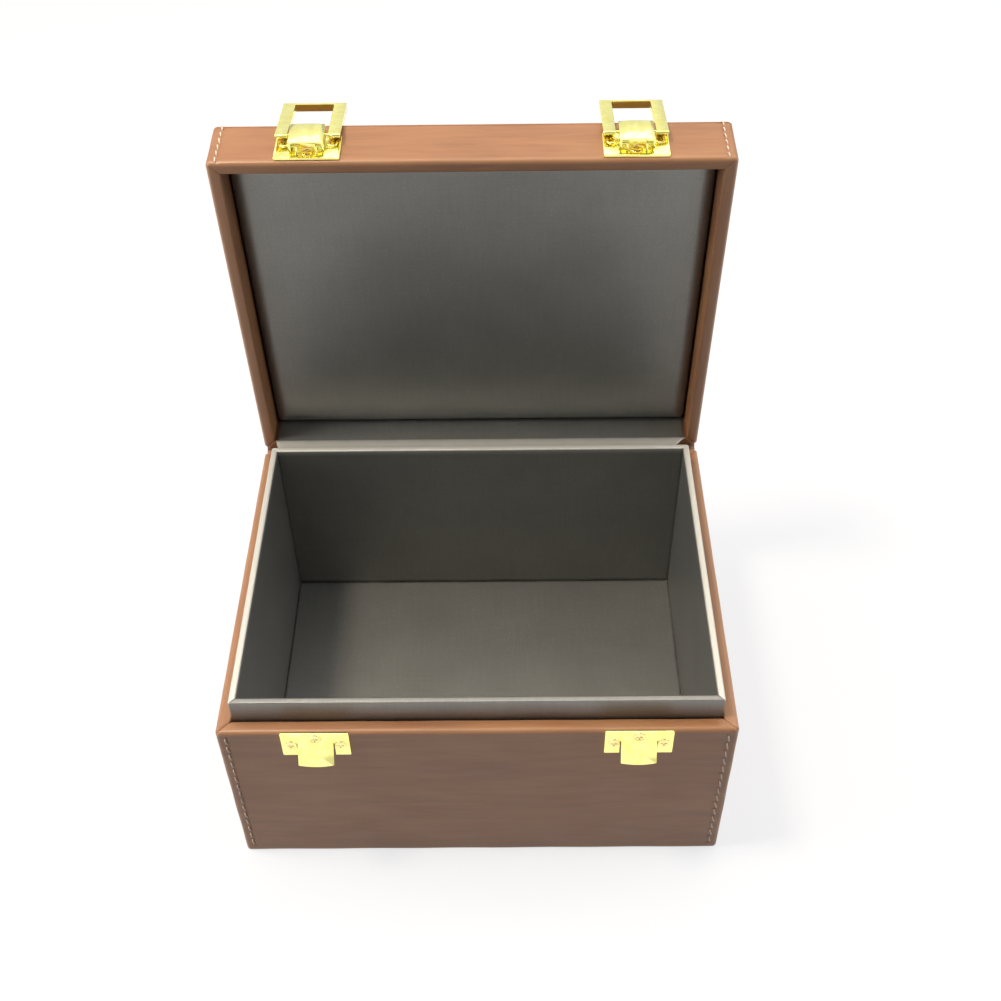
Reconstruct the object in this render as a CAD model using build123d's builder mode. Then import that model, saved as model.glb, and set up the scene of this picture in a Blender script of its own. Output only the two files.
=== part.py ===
from build123d import *
import os
from math import asin, atan, atan2, cos, degrees, hypot, radians, sin

os.makedirs("parts", exist_ok=True)

# The key box stands open. X runs along its width, Y from front to back, Z up, in millimetres.
# The origin is the middle of its underside. Sizes are outside sizes over the leather.

# ---- the box as a whole ----
box_width = 160.0
box_depth = 125.5
body_height = 69.0        # underside to the leather rim
lid_height = 19.5         # lid rim to the lid's top face
lid_open_angle = 86.0     # how far the lid is turned back from shut
rim_gap = 0.8             # between the two rims with the lid shut; it holds the hinge fabric
corner_radius = 1.6       # upright corners
edge_radius = 1.4         # outer edge of a rim
inner_edge_radius = 0.6   # inner edge of a rim

# ---- layers ----
leather = 0.8
fabric = 0.3
wall_board = 3.0          # body walls
floor_board = 3.0
lid_board = 2.6           # lid walls
lid_top_board = 3.2
body_turn_in = 12.0       # leather folded down behind the body rim
lid_turn_in = 12.0        # leather folded in behind the lid rim, past the panel's border
mitre_reach = 20.0        # how far in a mitre cut runs; longer than any wall is thick

# ---- liner box ----
liner_board = 1.6
liner_rise = 8.5          # how far it stands above the body rim
liner_front_slot = 0.3    # open slot between the liner's front wall and the rim
liner_back_slot = 2.7     # the same at the back, where the hinge fabric hangs with the lid shut
liner_turn_down = 24.0    # fabric folded down the outside of the liner
liner_floor_board = 1.3

# ---- lid inside ----
lid_cavity = 8.2          # rim to the face of the padded panel
panel_board = 3.0
panel_gap = 0.2           # play round the panel
panel_edge = 3.3          # rounding of the padded panel's border

# ---- hinge strips ----
hinge_leather_thick = 0.6
hinge_leather_drop = 12.0     # along the body's back
hinge_leather_rise = 10.0     # along the lid's back
hinge_leather_inset = 0.8     # each end stays this far from the box's sides
hinge_fabric_tuck = 0.7       # below the liner's top
hinge_fabric_drop = 8.0       # down the liner's back
hinge_fabric_reach = 9.4      # along the lid's back wall, inside, to under the panel's border
hinge_fabric_inset = 4.8

# ---- stitching ----
stitch_length = 2.9           # on the body
stitch_pitch = 4.2
lid_stitch_length = 2.2
lid_stitch_pitch = 3.25
stitch_width = 0.7
stitch_height = 0.3
stitch_inset = 3.0            # row to the box's side
body_stitches = 15
lid_stitches = 6
body_stitch_margin = 4.6      # rim to the first stitch's middle
lid_stitch_margin = 1.9

# ---- latches: x across, h up from the rim plane, d out from the leather ----
latch_spacing = 99.0          # between the two latches' middles
plate = 0.8
lever_width = 10.6
lever_sheet = 0.7
lever_crown = 5.1             # d of the lever's middle
lever_edge = 4.85             # d of the lever's long edges
lever_start = 3.1
lever_end = 12.6
lever_foot = 1.3              # d where the flanges end
pivot_h = 4.1                 # lever's pivot
pivot_d = 2.95
pin_radius = 0.45
pin_clearance = 0.06
lug_radius = 0.85
lug_outer = 3.3               # x of the lugs' outer faces
lug_thick = 0.7
bail_h = 9.8                  # bail's pivot on the lever
bail_d = 2.9
bail_width = 19.8
bail_window = 12.2
bail_thick = 1.24             # at its pivots
bail_far_thick = 2.5          # at the far bar
bail_far_bar = 1.2
bail_tail = 1.2               # pivot to the free ends
bail_pin_depth = 2.3          # how far a pin runs into a side bar
bail_rest_gap = 0.06          # bail to the lid's edge, turned right back
bail_latched_tilt = 3.7       # bail to the front face when hooked on the catch
hook_gap = 0.08               # far bar to the catch's foot when hooked
tab_play = 0.14               # far bar to the tab's back when hooked
base_width = 20.0
base_start = 1.0
base_end = 12.6
plate_corner = 0.4
screw_head = 1.9
screw_shank = 0.9
screw_proud = 0.3             # head above its plate
screw_depth = 3.3             # point below the leather's face, inside the board
recess_width = 0.45
recess_depth = 0.25
base_screws = ((-7.2, 8.7), (7.2, 8.7), (0.0, 4.2))
catch_width = 21.0
catch_top = 0.4
catch_foot = -10.5
catch_bend = -4.2             # where the tab leaves the plate
catch_screws = ((-7.65, -5.3), (7.65, -5.3), (0.0, -2.1))
tab_width = 11.0
tab_foot = -10.9
tab_bulge = 0.5               # how far the tab's end curves down
tab_slit = 0.3                # cut each side of the tab

# ---- derived ----
half_width = box_width / 2
half_depth = box_depth / 2
body_wall = leather + wall_board + leather
lid_wall = leather + lid_board + leather
liner_wall = fabric + liner_board + fabric
floor_top = leather + floor_board
liner_x = half_width - body_wall
liner_front = -half_depth + body_wall + liner_front_slot
liner_back = half_depth - body_wall - liner_back_slot
liner_top = body_height + liner_rise
liner_floor = floor_top + liner_floor_board + fabric
hinge_z = body_height + rim_gap / 2
lid_rim = body_height + rim_gap
lid_top = lid_rim + lid_height
panel_x = half_width - lid_wall
panel_y = half_depth - lid_wall

# the lid turns about a line along the box's upper back edge
hinge_line = Location((0, half_depth, hinge_z))
opened = hinge_line * Location((0, 0, 0), (-lid_open_angle, 0, 0)) * hinge_line.inverse()


def on(frame, plane):
    """A plane given in a frame's own coordinates, in the box's coordinates."""
    return Plane(frame.location * plane.location)


lid_frame = Plane(opened)
face_up = dict(x_dir=(1, 0, 0), z_dir=(0, -1, 0))


def latch_frame(x):
    """On the lid's front face: X across, Y up from the rim, Z outwards."""
    return on(lid_frame, Plane(origin=(x, -half_depth, lid_rim), **face_up))


def catch_frame(x):
    """The same on the body's front face, with Y up from the body's rim."""
    return Plane(origin=(x, -half_depth, body_height), **face_up)


# turned right back, the bail's sloping underside lies against the lid's far edge
tilt = radians(bail_latched_tilt)
bail_reach = (bail_h + rim_gap - catch_foot + hook_gap) / cos(tilt) + bail_far_bar
bail_taper = atan((bail_far_thick - bail_thick) / bail_reach)
edge_distance = hypot(lid_height - bail_h, bail_d)
edge_angle = atan2(bail_d, lid_height - bail_h)
bail_skin = bail_thick / 2 * cos(bail_taper)
bail_droop = edge_angle - asin((bail_skin + bail_rest_gap) / edge_distance) - bail_taper


# hooked, the far bar's outer corner lies this far out from the front face, and the tab leans
# out just far enough to let it in behind
far_bar_out = bail_d - bail_reach * sin(tilt) + (bail_far_thick - bail_thick / 2) * cos(tilt)
tab_slope = (far_bar_out + tab_play) / (catch_bend - catch_foot + hook_gap)


def bail_frame(x):
    """On the bail: X across, Y from its pivots to the far bar, Z outwards when turned back."""
    out = (0, sin(bail_droop), cos(bail_droop))
    return on(latch_frame(x), Plane(origin=(0, bail_h, bail_d), x_dir=(1, 0, 0), z_dir=out))


def ring_side(side, x, front, back, reach):
    """Plan corners of one mitred side of a rectangular ring."""
    outer = {"front": ((-x, front), (x, front)), "back": ((x, back), (-x, back)),
             "left": ((-x, back), (-x, front)), "right": ((x, front), (x, back))}[side]
    inner = []
    for px, py in outer:
        inner.append((px - reach if px > 0 else px + reach, py - reach if py > 0 else py + reach))
    return [outer[0], outer[1], inner[1], inner[0]]


def wall_plane(side, x, front, back):
    """Upright plane across a wall: its X runs inwards from the wall's outer face, its Y up."""
    origin, inward = {"front": ((0, front, 0), (0, 1, 0)), "back": ((0, back, 0), (0, -1, 0)),
                      "left": ((-x, 0, 0), (1, 0, 0)), "right": ((x, 0, 0), (-1, 0, 0))}[side]
    return Plane(origin=origin, x_dir=inward, z_dir=(inward[1], -inward[0], 0))


sides = ("front", "back", "left", "right")
body_ring = (half_width, -half_depth, half_depth)
liner_ring = (liner_x, liner_front, liner_back)
long = box_width + box_depth


# ---- screws, made first because every hole for them is cut with them ----
def make_screws(frame, places):
    """Countersunk screws with cross recesses, driven through a plate into the wall."""
    with BuildPart() as screws:
        for x, h in places:
            across = on(frame, Plane(origin=(x, h, 0), x_dir=(1, 0, 0), z_dir=(0, -1, 0)))
            with BuildSketch(across) as half:
                with BuildLine():
                    Polyline((0, -screw_depth), (screw_shank * 0.3, -screw_depth),
                             (screw_shank, -screw_depth + screw_shank), (screw_shank, 0),
                             (screw_head, plate), (screw_head * 0.93, plate + screw_proud * 0.7),
                             (screw_head * 0.6, plate + screw_proud), (0, plate + screw_proud),
                             close=True)
                make_face()
            revolve(half.sketch, axis=Axis(across.origin, across.y_dir))
        top = on(frame, Plane.XY.offset(plate + screw_proud - recess_depth))
        with BuildSketch(top) as cross:
            with Locations(*places):
                Rectangle(screw_head * 1.1, recess_width)
                Rectangle(recess_width, screw_head * 1.1)
        extrude(cross.sketch, amount=1, mode=Mode.SUBTRACT)
    return screws.part


latch_x = {"left": -latch_spacing / 2, "right": latch_spacing / 2}
latch_screws = {}
catch_screw_sets = {}
for hand in latch_x:
    latch_screws[hand] = make_screws(latch_frame(latch_x[hand]), base_screws)
    catch_screw_sets[hand] = make_screws(catch_frame(latch_x[hand]), catch_screws)


def save(piece, name):
    """Name a finished piece and write it."""
    piece.part.label = name
    export_step(piece.part, f"parts/{name}.step")


def save_group(solids, name):
    """Name a group of like pieces and write it."""
    solids.label = name
    export_step(solids, f"parts/{name}.step")


for hand in latch_x:
    save_group(latch_screws[hand], f"{hand}_latch_screws")
    save_group(catch_screw_sets[hand], f"{hand}_catch_screws")


# ---- body: boards ----
board_x = half_width - leather
board_y = half_depth - leather
board_rise = body_height - 2 * leather
for side in ("left", "right"):
    middle = (board_x - wall_board / 2) * (1 if side == "right" else -1)
    with BuildPart() as body_side_board:
        with BuildSketch(Plane.XY.offset(leather)):
            with Locations((middle, 0)):
                Rectangle(wall_board, 2 * board_y)
        extrude(amount=board_rise)
    save(body_side_board, f"body_board_{side}")

for side in ("front", "back"):
    middle = (board_y - wall_board / 2) * (1 if side == "back" else -1)
    with BuildPart() as body_end_board:
        with BuildSketch(Plane.XY.offset(leather)):
            with Locations((0, middle)):
                Rectangle(2 * (board_x - wall_board), wall_board)
        extrude(amount=board_rise)
        if side == "front":
            for hand in latch_x:
                add(catch_screw_sets[hand], mode=Mode.SUBTRACT)
    save(body_end_board, f"body_board_{side}")

with BuildPart() as body_board_floor:
    with BuildSketch(Plane.XY.offset(leather)):
        Rectangle(2 * (board_x - wall_board), 2 * (board_y - wall_board))
    extrude(amount=floor_board)
save(body_board_floor, "body_board_floor")

# ---- body: leather, one piece to a side, mitred at the corners and folded over the rim ----
for side in sides:
    with BuildPart() as body_leather:
        with BuildSketch(wall_plane(side, *body_ring)):
            with BuildLine():
                Polyline((0, 0), (0, body_height), (body_wall, body_height),
                         (body_wall, body_height - body_turn_in),
                         (body_wall - leather, body_height - body_turn_in),
                         (body_wall - leather, body_height - leather),
                         (leather, body_height - leather), (leather, 0), close=True)
            make_face()
            fillet(vertices().sort_by_distance((0, body_height))[0], edge_radius)
            fillet(vertices().sort_by_distance((body_wall, body_height))[0], inner_edge_radius)
        extrude(amount=long, both=True)
        with BuildSketch(Plane.XY):
            RectangleRounded(box_width, box_depth, corner_radius)
            with BuildLine():
                Polyline(*ring_side(side, *body_ring, mitre_reach), close=True)
            make_face(mode=Mode.INTERSECT)
        extrude(amount=body_height, mode=Mode.INTERSECT)
        if side == "front":
            for hand in latch_x:
                add(catch_screw_sets[hand], mode=Mode.SUBTRACT)
    save(body_leather, f"body_leather_{side}")

with BuildPart() as body_leather_bottom:
    with BuildSketch(Plane.XY):
        Rectangle(2 * board_x, 2 * board_y)
    extrude(amount=leather)
save(body_leather_bottom, "body_leather_bottom")

# ---- liner: four fabric-covered boards and a floor ----
for side in sides:
    with BuildPart() as liner_wall_board:
        with BuildSketch(Plane.XY.offset(floor_top)):
            with BuildLine():
                inset = (liner_x - fabric, liner_front + fabric, liner_back - fabric)
                Polyline(*ring_side(side, *inset, liner_board), close=True)
            make_face()
        extrude(amount=liner_top - fabric - floor_top)
    save(liner_wall_board, f"liner_board_{side}")

    with BuildPart() as liner_sleeve:
        with BuildSketch(wall_plane(side, *liner_ring)):
            with BuildLine():
                Polyline((0, liner_top - liner_turn_down), (0, liner_top), (liner_wall, liner_top),
                         (liner_wall, liner_floor), (liner_wall - fabric, liner_floor),
                         (liner_wall - fabric, liner_top - fabric), (fabric, liner_top - fabric),
                         (fabric, liner_top - liner_turn_down), close=True)
            make_face()
        extrude(amount=long, both=True)
        with BuildSketch(Plane.XY):
            with BuildLine():
                Polyline(*ring_side(side, *liner_ring, mitre_reach), close=True)
            make_face()
        extrude(amount=liner_top, mode=Mode.INTERSECT)
    save(liner_sleeve, f"liner_fabric_{side}")

liner_mid = (liner_front + liner_back) / 2
floor_width = 2 * (liner_x - liner_wall)
floor_depth = liner_back - liner_front - 2 * liner_wall
with BuildPart() as liner_board_floor:
    with BuildSketch(Plane.XY.offset(floor_top)):
        with Locations((0, liner_mid)):
            Rectangle(floor_width, floor_depth)
    extrude(amount=liner_floor_board)
save(liner_board_floor, "liner_board_floor")

with BuildPart() as liner_fabric_floor:
    with BuildSketch(Plane.XY.offset(floor_top + liner_floor_board)):
        with Locations((0, liner_mid)):
            Rectangle(floor_width, floor_depth)
    extrude(amount=fabric)
save(liner_fabric_floor, "liner_fabric_floor")

# ---- lid: boards, placed as they stand with the lid turned back ----
lid_board_rise = lid_height - 2 * leather
for side in ("left", "right"):
    middle = (board_x - lid_board / 2) * (1 if side == "right" else -1)
    with BuildPart() as lid_side_board:
        with BuildSketch(on(lid_frame, Plane.XY.offset(lid_rim + leather))):
            with Locations((middle, 0)):
                Rectangle(lid_board, 2 * board_y)
        extrude(amount=lid_board_rise)
    save(lid_side_board, f"lid_board_{side}")

for side in ("front", "back"):
    middle = (board_y - lid_board / 2) * (1 if side == "back" else -1)
    with BuildPart() as lid_end_board:
        with BuildSketch(on(lid_frame, Plane.XY.offset(lid_rim + leather))):
            with Locations((0, middle)):
                Rectangle(2 * (board_x - lid_board), lid_board)
        extrude(amount=lid_board_rise)
        if side == "front":
            for hand in latch_x:
                add(latch_screws[hand], mode=Mode.SUBTRACT)
    save(lid_end_board, f"lid_board_{side}")

inner_x = board_x - lid_board
inner_y = board_y - lid_board
with BuildPart() as lid_board_top:
    with BuildSketch(on(lid_frame, Plane.XY.offset(lid_top - leather - lid_top_board))):
        Rectangle(2 * inner_x, 2 * inner_y)
    extrude(amount=lid_top_board)
save(lid_board_top, "lid_board_top")

# ---- lid: leather ----
for side in sides:
    with BuildPart() as lid_leather:
        with BuildSketch(on(lid_frame, wall_plane(side, *body_ring))):
            with BuildLine():
                Polyline((0, lid_top - leather), (0, lid_rim), (lid_wall, lid_rim),
                         (lid_wall, lid_rim + lid_turn_in),
                         (lid_wall - leather, lid_rim + lid_turn_in),
                         (lid_wall - leather, lid_rim + leather),
                         (leather, lid_rim + leather), (leather, lid_top - leather), close=True)
            make_face()
            fillet(vertices().sort_by_distance((0, lid_rim))[0], edge_radius)
            fillet(vertices().sort_by_distance((lid_wall, lid_rim))[0], inner_edge_radius)
        extrude(amount=long, both=True)
        with BuildSketch(on(lid_frame, Plane.XY.offset(lid_rim))):
            RectangleRounded(box_width, box_depth, corner_radius)
            with BuildLine():
                Polyline(*ring_side(side, *body_ring, mitre_reach), close=True)
            make_face(mode=Mode.INTERSECT)
        extrude(amount=lid_height, mode=Mode.INTERSECT)
        if side == "front":
            for hand in latch_x:
                add(latch_screws[hand], mode=Mode.SUBTRACT)
    save(lid_leather, f"lid_leather_{side}")


with BuildPart() as lid_leather_top:
    with BuildSketch(on(lid_frame, Plane.XY.offset(lid_top - leather))):
        RectangleRounded(box_width, box_depth, corner_radius)
    extrude(amount=leather)
    top_face = faces().sort_by_distance(on(lid_frame, Plane.XY.offset(lid_top)).origin)[0]
    fillet(top_face.edges(), leather * 0.8)
save(lid_leather_top, "lid_leather_top")

# ---- lid: padded panel, its fabric drawn over foam and a board ----
panel_front = lid_rim + lid_cavity
panel_back = lid_top - leather - lid_top_board
panel_width = 2 * (panel_x - panel_gap)
panel_depth = 2 * (panel_y - panel_gap)
with BuildPart() as lid_panel_board:
    with BuildSketch(on(lid_frame, Plane.XY.offset(panel_back - panel_board))):
        Rectangle(panel_width - 2 * fabric, panel_depth - 2 * fabric)
    extrude(amount=panel_board)
save(lid_panel_board, "lid_panel_board")


def cushion(inset, height):
    """A block from the panel's face back, with its face's border rounded."""
    face = on(lid_frame, Plane.XY.offset(panel_front + inset))
    with BuildPart() as block:
        with BuildSketch(face):
            Rectangle(panel_width - 2 * inset, panel_depth - 2 * inset)
        extrude(amount=height)
        fillet(faces().sort_by_distance(face.origin)[0].edges(), panel_edge - inset)
    return block.part


with BuildPart() as lid_padding:
    add(cushion(fabric, panel_back - panel_board - panel_front - fabric))
save(lid_padding, "lid_padding")

with BuildPart() as lid_panel_fabric:
    add(cushion(0, panel_back - panel_front))
    add(cushion(fabric, panel_back - panel_front), mode=Mode.SUBTRACT)
save(lid_panel_fabric, "lid_panel_fabric")

# ---- hinge: a leather strip outside and a conductive fabric strip inside ----
across_box = Plane(origin=(0, 0, 0), x_dir=(0, 1, 0), z_dir=(1, 0, 0))
across_lid = on(lid_frame, across_box)
leather_half = half_width - hinge_leather_inset
with BuildPart() as hinge_leather:
    with BuildSketch(across_box):
        with BuildLine():
            Polyline((half_depth, body_height - hinge_leather_drop),
                     (half_depth, body_height - rim_gap / 8),
                     (half_depth + rim_gap, body_height - rim_gap / 8),
                     (half_depth + rim_gap, body_height - hinge_leather_thick),
                     (half_depth + hinge_leather_thick, body_height - rim_gap),
                     (half_depth + hinge_leather_thick, body_height - hinge_leather_drop),
                     close=True)
        make_face()
    extrude(amount=leather_half, both=True)
    with BuildSketch(across_lid) as leather_rise:
        with BuildLine():
            Polyline((half_depth, hinge_z + rim_gap * 0.6), (half_depth, lid_rim + hinge_leather_rise),
                     (half_depth + hinge_leather_thick, lid_rim + hinge_leather_rise),
                     (half_depth + hinge_leather_thick, hinge_z + rim_gap * 0.6), close=True)
        make_face()
    extrude(leather_rise.sketch, amount=leather_half, both=True)
save(hinge_leather, "hinge_leather")



def turned_back(y, z):
    """Where a point of the lid, given as it lies with the lid shut, is with the lid open."""
    place = on(lid_frame, Plane(origin=(0, y, z))).origin
    return place.Y, place.Z


# the fabric is glued up the liner's back, spans the hinge and runs on along the lid's back wall
lid_face = half_depth - lid_wall
span_start = liner_top - hinge_fabric_tuck
with BuildPart() as hinge_fabric:
    with BuildSketch(across_box):
        with BuildLine():
            Polyline((liner_back, span_start - hinge_fabric_drop), (liner_back, span_start),
                     turned_back(lid_face - fabric, lid_rim),
                     turned_back(lid_face - fabric, lid_rim + hinge_fabric_reach),
                     turned_back(lid_face, lid_rim + hinge_fabric_reach),
                     turned_back(lid_face, lid_rim),
                     (liner_back + fabric, span_start - fabric),
                     (liner_back + fabric, span_start - hinge_fabric_drop), close=True)
        make_face()
    extrude(amount=half_width - hinge_fabric_inset, both=True)
save(hinge_fabric, "hinge_fabric")

# ---- stitching: two rows on the body's front and two on the lid's ----
row_x = half_width - stitch_inset
with BuildPart() as body_stitching:
    with BuildSketch(catch_frame(0)):
        for n in range(body_stitches):
            with Locations((-row_x, -body_stitch_margin - n * stitch_pitch),
                           (row_x, -body_stitch_margin - n * stitch_pitch)):
                SlotOverall(stitch_length, stitch_width, rotation=90)
    extrude(amount=stitch_height)
save(body_stitching, "body_stitching")

with BuildPart() as lid_stitching:
    with BuildSketch(latch_frame(0)):
        for n in range(lid_stitches):
            with Locations((-row_x, lid_stitch_margin + n * lid_stitch_pitch),
                           (row_x, lid_stitch_margin + n * lid_stitch_pitch)):
                SlotOverall(lid_stitch_length, stitch_width, rotation=90)
    extrude(amount=stitch_height)
save(lid_stitching, "lid_stitching")

# ---- latches ----
flange_in = lever_width / 2 - lever_sheet
bar_in = bail_window / 2
pin_end = bar_in + bail_pin_depth


def pins(frame, start, end):
    """A pair of short pins about a frame's X axis, one each side of its middle."""
    with BuildPart() as pair:
        for hand in (-1, 1):
            with BuildSketch(on(frame, Plane.YZ.offset(hand * start))) as pin:
                Circle(pin_radius)
            extrude(pin.sketch, amount=hand * (end - start))
    return pair.part


for hand, x in latch_x.items():
    frame = latch_frame(x)
    pivot = on(frame, Plane.XY.move(Location((0, pivot_h, pivot_d))))
    lever_pins = pins(pivot, lug_outer - lug_thick, lever_width / 2)
    bail_pins = pins(bail_frame(x), flange_in, pin_end)
    save_group(lever_pins, f"{hand}_lever_pins")
    save_group(bail_pins, f"{hand}_bail_pins")

    # base plate with two lugs, countersunk for its three screws
    with BuildPart() as latch_base:
        with BuildSketch(frame):
            with Locations((0, (base_start + base_end) / 2)):
                RectangleRounded(base_width, base_end - base_start, plate_corner)
        extrude(amount=plate)
        for side in (-1, 1):
            inner = side * (lug_outer - lug_thick)
            with BuildSketch(on(frame, Plane.YZ.offset(inner))) as lug:
                with Locations((pivot_h, pivot_d)):
                    Circle(lug_radius)
                with Locations((pivot_h, pivot_d / 2 + plate / 4)):
                    Rectangle(2 * lug_radius, pivot_d - plate / 2)
            extrude(lug.sketch, amount=side * lug_thick)
        add(latch_screws[hand], mode=Mode.SUBTRACT)
        add(lever_pins, mode=Mode.SUBTRACT)
    save(latch_base, f"{hand}_latch_base")

    # lever: crowned sheet folded down along both sides
    with BuildPart() as lever:
        section = on(frame, Plane(origin=(0, lever_end, 0), x_dir=(1, 0, 0), z_dir=(0, -1, 0)))
        with BuildSketch(section):
            with BuildLine():
                edge = lever_width / 2
                ThreePointArc((-edge, lever_edge), (0, lever_crown), (edge, lever_edge))
                Polyline((edge, lever_edge), (edge, lever_foot), (-edge, lever_foot),
                         (-edge, lever_edge))
            make_face()
            with BuildLine():
                roof = lever_edge - lever_sheet
                ThreePointArc((-flange_in, roof), (0, lever_crown - lever_sheet), (flange_in, roof))
                Polyline((flange_in, roof), (flange_in, 0), (-flange_in, 0), (-flange_in, roof))
            make_face(mode=Mode.SUBTRACT)
        extrude(amount=lever_end - lever_start)
        with BuildSketch(on(frame, Plane.YZ)) as outline:
            with BuildLine():
                Polyline((pivot_h, lever_foot), (bail_h + 1.2, lever_foot),
                         (lever_end - 0.5, lever_edge - lever_sheet), (lever_end, lever_edge),
                         (lever_end, lever_crown), (lever_start, lever_crown),
                         (lever_start, pivot_d), (pivot_h, pivot_d), close=True)
            make_face()
            with Locations((pivot_h, pivot_d)):
                Circle(pivot_d - lever_foot)
        extrude(outline.sketch, amount=lever_width, both=True, mode=Mode.INTERSECT)
        with BuildSketch(on(frame, Plane.YZ)) as pivot_hole:
            with Locations((pivot_h, pivot_d)):
                Circle(pin_radius + pin_clearance)
        extrude(pivot_hole.sketch, amount=lever_width, both=True, mode=Mode.SUBTRACT)
        add(bail_pins, mode=Mode.SUBTRACT)
    save(lever, f"{hand}_latch_lever")

    # bail: a frame open at its near end, flat on one face and thicker towards the far bar
    with BuildPart() as bail:
        with BuildSketch(on(bail_frame(x), Plane.YZ)):
            half = bail_thick / 2
            with BuildLine():
                Polyline((-bail_tail, -half), (0, -half), (bail_reach, half - bail_far_thick),
                         (bail_reach, half), (-bail_tail, half), close=True)
            make_face()
            for corner, radius in (((-bail_tail, -half), half * 0.9), ((-bail_tail, half), half * 0.9),
                                   ((bail_reach, half), half * 0.7)):
                fillet(vertices().sort_by_distance(corner)[0], radius)
        extrude(amount=bail_width / 2, both=True)
        with BuildSketch(bail_frame(x)) as window:
            with Locations((0, (bail_reach - bail_far_bar) / 2 - bail_tail)):
                Rectangle(bail_window, bail_reach - bail_far_bar + 2 * bail_tail)
        extrude(window.sketch, amount=bail_far_thick * 2, both=True, mode=Mode.SUBTRACT)
        for side in (-1, 1):
            with BuildSketch(on(bail_frame(x), Plane.YZ.offset(side * bar_in))) as eye:
                Circle(pin_radius + pin_clearance)
            depth = side * (bail_pin_depth + pin_clearance)
            extrude(eye.sketch, amount=depth, mode=Mode.SUBTRACT)
    save(bail, f"{hand}_bail")

    # catch: a plate with a tab cut free in its middle and leaning out towards its foot
    frame = catch_frame(x)
    with BuildPart() as catch:
        tab_end = tab_foot - tab_bulge
        tab_front = plate + tab_slope * (catch_bend - tab_end)
        with BuildSketch(on(frame, Plane.YZ)) as bend:
            with BuildLine():
                Polyline((catch_bend, 0), (catch_bend, plate), (tab_end, tab_front),
                         (tab_end, tab_front - plate), close=True)
            make_face()
        extrude(bend.sketch, amount=tab_width / 2, both=True)
        with BuildSketch(frame) as tab_plan:
            with BuildLine():
                side = tab_width / 2
                ThreePointArc((-side, tab_foot), (0, tab_foot - tab_bulge), (side, tab_foot))
                Polyline((side, tab_foot), (side, 0), (-side, 0), (-side, tab_foot))
            make_face()
        extrude(tab_plan.sketch, amount=2 * tab_front, mode=Mode.INTERSECT)
        with BuildSketch(frame) as wings:
            with Locations((0, (catch_top + catch_foot) / 2)):
                RectangleRounded(catch_width, catch_top - catch_foot, plate_corner)
            slot_top = catch_bend - plate / 4
            with Locations((0, (slot_top + catch_foot) / 2)):
                Rectangle(tab_width + 2 * tab_slit, slot_top - catch_foot, mode=Mode.SUBTRACT)
        extrude(wings.sketch, amount=plate)
        add(catch_screw_sets[hand], mode=Mode.SUBTRACT)
    save(catch, f"{hand}_catch")
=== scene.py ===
import math

import bmesh
import bpy
import numpy as np
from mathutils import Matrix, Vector


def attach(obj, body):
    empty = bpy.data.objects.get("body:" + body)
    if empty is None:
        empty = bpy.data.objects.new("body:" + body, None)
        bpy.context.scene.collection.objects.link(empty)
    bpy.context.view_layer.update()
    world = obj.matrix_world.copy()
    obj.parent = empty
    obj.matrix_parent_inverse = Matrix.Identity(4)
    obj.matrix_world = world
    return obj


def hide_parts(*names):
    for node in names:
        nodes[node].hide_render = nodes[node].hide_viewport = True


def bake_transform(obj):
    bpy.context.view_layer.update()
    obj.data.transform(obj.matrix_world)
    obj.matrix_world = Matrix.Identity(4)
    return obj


# The key box stands open on its base. Lengths here are in millimetres and become metres in each mesh.
# X runs along its width, Y from front to back, Z up.
mm = 0.001
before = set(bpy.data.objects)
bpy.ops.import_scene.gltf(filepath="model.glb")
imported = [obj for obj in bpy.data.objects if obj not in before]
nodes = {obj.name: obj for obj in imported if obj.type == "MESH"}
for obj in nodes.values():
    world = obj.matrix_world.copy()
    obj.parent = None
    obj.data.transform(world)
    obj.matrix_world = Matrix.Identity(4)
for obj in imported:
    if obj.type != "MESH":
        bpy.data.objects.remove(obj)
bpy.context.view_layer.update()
print("frame loaded:", len(nodes), "nodes")

box = {
    "width": 160.0,
    "depth": 125.5,
    "bodyHeight": 69.0,
    "lidHeight": 19.5,
    "rimGap": 0.8,
    "lidOpen": 86.0,
    "bodyWall": 4.6,
    "lidWall": 4.2,
}
halfWidth = box["width"] / 2
halfDepth = box["depth"] / 2
bodyRim = box["bodyHeight"]
lidRim = bodyRim + box["rimGap"]
lidTop = lidRim + box["lidHeight"]
hingeY = halfDepth
hingeZ = bodyRim + box["rimGap"] / 2


def openLid(points):
    # points of the shut lid, turned back about the hinge line: a plain rotation in Y and Z
    turn = math.radians(box["lidOpen"])
    y = points[..., 1] - hingeY
    z = points[..., 2] - hingeZ
    turned = np.array(points, float)
    turned[..., 1] = hingeY + y * math.cos(turn) + z * math.sin(turn)
    turned[..., 2] = hingeZ - y * math.sin(turn) + z * math.cos(turn)
    return turned


def writeCloth(mesh, uv):
    # every face corner takes its point's place on the flat cloth
    loops = np.zeros(len(mesh.loops), np.int32)
    mesh.loops.foreach_get("vertex_index", loops)
    layer = mesh.uv_layers.new(name="cloth")
    layer.data.foreach_set("uv", (uv.reshape(-1, 2)[loops] * mm).astype(np.float32).ravel())


def placed(name, mesh, material):
    # a smooth piece of one material, linked into the scene
    mesh.shade_smooth()
    mesh.materials.append(material)
    piece = bpy.data.objects.new(name, mesh)
    bpy.context.scene.collection.objects.link(piece)
    return piece


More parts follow.
